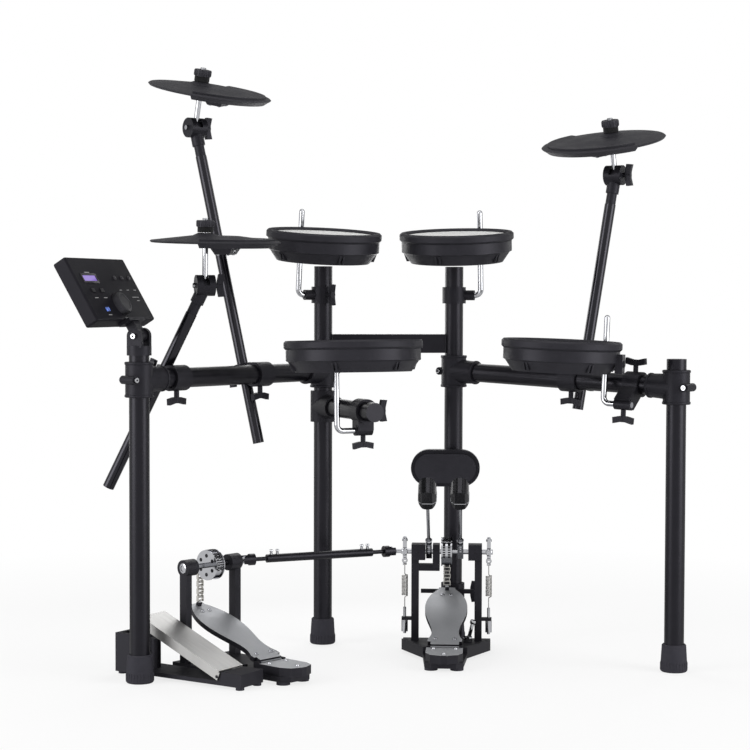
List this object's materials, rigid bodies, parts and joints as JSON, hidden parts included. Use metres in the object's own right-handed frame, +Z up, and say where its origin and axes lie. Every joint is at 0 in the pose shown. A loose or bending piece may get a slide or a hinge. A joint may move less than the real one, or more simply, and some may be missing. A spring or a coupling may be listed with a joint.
{
  "type": "electronic drum kit",
  "caption": "Compact electronic drum kit: tube rack with mesh drum pads, rubber cymbal pads, kick pad with double pedal, hi-hat pedal and tilting sound module.",
  "frame": {"origin": "on the floor under the middle of the kit's bounding box", "axes": "+Z up, +X to the drummer's right along the cross bar, +Y away from the drummer"},
  "size_m": [1.2129, 0.5464, 1.1786],
  "materials": {
    "powder_coat": "satin powder coat",
    "cast_black": "fine textured black",
    "boot_rubber": "matte",
    "pad_rubber": "matte",
    "shell_plastic": "fine grain",
    "mesh": "woven mesh",
    "chrome": "polished",
    "chain_steel": "bright",
    "beater_block": "matte",
    "board_metal": "satin paint",
    "treadle_metal": "brushed",
    "module_plastic": "fine grain",
    "key_plastic": "semi gloss",
    "screen": "backlit"
  },
  "bodies": {
    "rack": {"arm_clamps": "cast_black", "bolts_and_knobs": "chrome", "center_frame": "powder_coat", "corner_castings": "cast_black", "heel_plates": "board_metal", "hihat_base": "powder_coat", "kick_pad_face": "pad_rubber", "kick_pad_housing": "shell_plastic", "kick_post_clamps": "cast_black", "left_spring": "chrome", "main_chain": "chain_steel", "main_spring": "chrome", "module_stand": "cast_black", "outer_posts": "powder_coat", "pedal_base": "powder_coat", "pedal_frame": "powder_coat", "rod_clamps": "cast_black", "rubber_feet": "boot_rubber", "side_base": "powder_coat", "side_chain": "chain_steel", "side_frame": "powder_coat", "snare_stub_arm": "powder_coat", "wing_tubes": "powder_coat"},
    "hihat_arm": {"hihat_arm": "powder_coat"},
    "hihat_tilter": {"hihat_tilter": "chrome"},
    "hihat_cymbal": {"hihat_cymbal": "pad_rubber"},
    "crash_arm": {"crash_arm": "powder_coat"},
    "crash_tilter": {"crash_tilter": "chrome"},
    "crash_cymbal": {"crash_cymbal": "pad_rubber"},
    "ride_arm": {"ride_arm": "powder_coat"},
    "ride_tilter": {"ride_tilter": "chrome"},
    "ride_cymbal": {"ride_cymbal": "pad_rubber"},
    "left_tom_rod": {"left_tom_rod": "chrome"},
    "left_tom_pad": {"left_tom_shell": "shell_plastic", "left_tom_head": "mesh"},
    "right_tom_rod": {"right_tom_rod": "chrome"},
    "right_tom_pad": {"right_tom_shell": "shell_plastic", "right_tom_head": "mesh"},
    "snare_rod": {"snare_rod": "chrome"},
    "snare_pad": {"snare_shell": "shell_plastic", "snare_head": "mesh"},
    "floor_tom_rod": {"floor_tom_rod": "chrome"},
    "floor_tom_pad": {"floor_tom_shell": "shell_plastic", "floor_tom_head": "mesh"},
    "pedal_footboard": {"pedal_footboard": "board_metal"},
    "main_axle": {"main_axle": "chrome", "main_beater": "beater_block"},
    "side_footboard": {"side_footboard": "board_metal"},
    "side_axle": {"side_axle": "chrome"},
    "drive_shaft": {"drive_shaft": "powder_coat"},
    "left_axle": {"left_axle": "chrome", "left_beater": "beater_block"},
    "hihat_treadle": {"hihat_treadle": "treadle_metal"},
    "module": {"module_case": "module_plastic", "module_bracket": "cast_black", "module_screen": "screen"},
    "module_dial": {"module_dial": "key_plastic"},
    "kit_down_key": {"kit_down_key": "key_plastic"},
    "kit_up_key": {"kit_up_key": "key_plastic"},
    "start_key": {"start_key": "key_plastic"}
  },
  "joints": [
    {"name": "hihat_arm_height", "type": "slide", "parent": "rack", "child": "hihat_arm", "axis": [0.4248, -0.1374, 0.8948], "range_m": [-0.02, 0.02]},
    {"name": "hihat_tilt", "type": "hinge", "parent": "hihat_arm", "child": "hihat_tilter", "pos_m": [-0.33122, -0.06903, 0.74129], "axis": [0.9864, 0.1645, 0], "range_deg": [-8, 8]},
    {"name": "hihat_swing", "type": "hinge", "parent": "hihat_tilter", "child": "hihat_cymbal", "pos_m": [-0.33044, -0.07374, 0.83117], "axis": [0.9864, 0.1645, 0], "range_deg": [-3, 3], "stiffness_Nm_per_rad": 8},
    {"name": "crash_arm_height", "type": "slide", "parent": "rack", "child": "crash_arm", "axis": [-0.1913, 0.1023, 0.9762], "range_m": [-0.03, 0.03]},
    {"name": "crash_tilt", "type": "hinge", "parent": "crash_arm", "child": "crash_tilter", "pos_m": [-0.34391, 0.1717, 1.05956], "axis": [0.8469, 0.5317, 0], "range_deg": [-15, 15]},
    {"name": "crash_swing", "type": "hinge", "parent": "crash_tilter", "child": "crash_cymbal", "pos_m": [-0.33295, 0.15423, 1.14099], "axis": [0.8469, 0.5317, 0], "range_deg": [-3, 3], "stiffness_Nm_per_rad": 8},
    {"name": "ride_arm_height", "type": "slide", "parent": "rack", "child": "ride_arm", "axis": [0.157, 0.0172, 0.9874], "range_m": [-0.03, 0.03]},
    {"name": "ride_tilt", "type": "hinge", "parent": "ride_arm", "child": "ride_tilter", "pos_m": [0.49396, 0.06108, 0.96585], "axis": [0.8, -0.6, 0], "range_deg": [-15, 15]},
    {"name": "ride_swing", "type": "hinge", "parent": "ride_tilter", "child": "ride_cymbal", "pos_m": [0.4823, 0.04553, 1.04139], "axis": [0.8, -0.6, 0], "range_deg": [-3, 3], "stiffness_Nm_per_rad": 8},
    {"name": "left_tom_tilt", "type": "hinge", "parent": "rack", "child": "left_tom_rod", "pos_m": [-0.13309, 0.20418, 0.724], "axis": [0.9397, 0.342, 0], "range_deg": [-8, 8]},
    {"name": "left_tom_height", "type": "slide", "parent": "left_tom_rod", "child": "left_tom_pad", "axis": [0.0358, -0.0982, 0.9945], "range_m": [-0.02, 0.015]},
    {"name": "right_tom_tilt", "type": "hinge", "parent": "rack", "child": "right_tom_rod", "pos_m": [0.24669, 0.20418, 0.724], "axis": [-0.9397, 0.342, 0], "range_deg": [-8, 8]},
    {"name": "right_tom_height", "type": "slide", "parent": "right_tom_rod", "child": "right_tom_pad", "axis": [-0.0358, -0.0982, 0.9945], "range_m": [-0.02, 0.015]},
    {"name": "snare_tilt", "type": "hinge", "parent": "rack", "child": "snare_rod", "pos_m": [-0.06961, 0.02732, 0.456], "axis": [0.9403, 0.3404, 0], "range_deg": [-8, 8]},
    {"name": "snare_height", "type": "slide", "parent": "snare_rod", "child": "snare_pad", "axis": [-0.0119, 0.0328, 0.9994], "range_m": [-0.02, 0.015]},
    {"name": "floor_tom_tilt", "type": "hinge", "parent": "rack", "child": "floor_tom_rod", "pos_m": [0.44125, -0.07498, 0.51542], "axis": [0.7177, -0.6955, -0.0325], "range_deg": [-8, 8]},
    {"name": "floor_tom_height", "type": "slide", "parent": "floor_tom_rod", "child": "floor_tom_pad", "axis": [0.0355, -0.0101, 0.9993], "range_m": [-0.02, 0.015]},
    {"name": "pedal_press", "type": "hinge", "parent": "rack", "child": "pedal_footboard", "pos_m": [0.13912, -0.02201, 0.03], "axis": [-0.9848, 0.1736, 0], "range_deg": [0, 6.9], "stiffness_Nm_per_rad": 25, "springref_deg": -8.59, "deforming": ["main_chain"]},
    {"name": "main_beater_swing", "type": "hinge", "parent": "rack", "child": "main_axle", "pos_m": [0.1676, 0.1395, 0.199], "axis": [-0.9848, 0.1736, 0], "range_deg": [0, 43.67], "deforming": ["main_spring"]},
    {"name": "side_press", "type": "hinge", "parent": "rack", "child": "side_footboard", "pos_m": [-0.21141, -0.12517, 0.03], "axis": [-0.7547, -0.6561, 0], "range_deg": [0, 6.9], "stiffness_Nm_per_rad": 25, "springref_deg": -8.59, "deforming": ["side_chain"]},
    {"name": "side_axle_turn", "type": "hinge", "parent": "rack", "child": "side_axle", "pos_m": [-0.319, -0.0014, 0.199], "axis": [-0.7547, -0.6561, 0], "range_deg": [0, 43.67]},
    {"name": "drive_shaft_turn", "type": "hinge", "parent": "rack", "child": "drive_shaft", "pos_m": [-0.24957, 0.05896, 0.199], "axis": [-0.9508, -0.3098, 0], "range_deg": [0, 43.67]},
    {"name": "left_beater_swing", "type": "hinge", "parent": "rack", "child": "left_axle", "pos_m": [0.1676, 0.1395, 0.199], "axis": [-0.9848, 0.1736, 0], "range_deg": [0, 43.67], "deforming": ["left_spring"]},
    {"name": "hihat_press", "type": "hinge", "parent": "rack", "child": "hihat_treadle", "pos_m": [-0.29072, -0.18067, 0.021], "axis": [-0.6428, -0.766, 0], "range_deg": [0, 8], "stiffness_Nm_per_rad": 25, "springref_deg": -8.59},
    {"name": "module_tilt", "type": "hinge", "parent": "rack", "child": "module", "pos_m": [-0.45486, -0.13977, 0.647], "axis": [0.4587, 0.8886, 0], "range_deg": [-12, 12]},
    {"name": "module_dial_turn", "type": "hinge", "parent": "module", "child": "module_dial", "pos_m": [-0.4889, -0.13908, 0.70563], "axis": [0.7617, -0.3931, 0.515], "continuous": true},
    {"name": "kit_down_key_press", "type": "slide", "parent": "module", "child": "kit_down_key", "axis": [-0.7617, 0.3931, -0.515], "range_m": [0, 0.0012], "stiffness_N_per_m": 500},
    {"name": "kit_up_key_press", "type": "slide", "parent": "module", "child": "kit_up_key", "axis": [-0.7617, 0.3931, -0.515], "range_m": [0, 0.0012], "stiffness_N_per_m": 500},
    {"name": "start_key_press", "type": "slide", "parent": "module", "child": "start_key", "axis": [-0.7617, 0.3931, -0.515], "range_m": [0, 0.0012], "stiffness_N_per_m": 500}
  ],
  "couplings": [
    {"joint": "main_beater_swing", "follows": "pedal_press", "ratio": 6.3},
    {"joint": "side_axle_turn", "follows": "side_press", "ratio": 6.3},
    {"joint": "drive_shaft_turn", "follows": "side_press", "ratio": 6.3},
    {"joint": "left_beater_swing", "follows": "side_press", "ratio": 6.3}
  ]
}
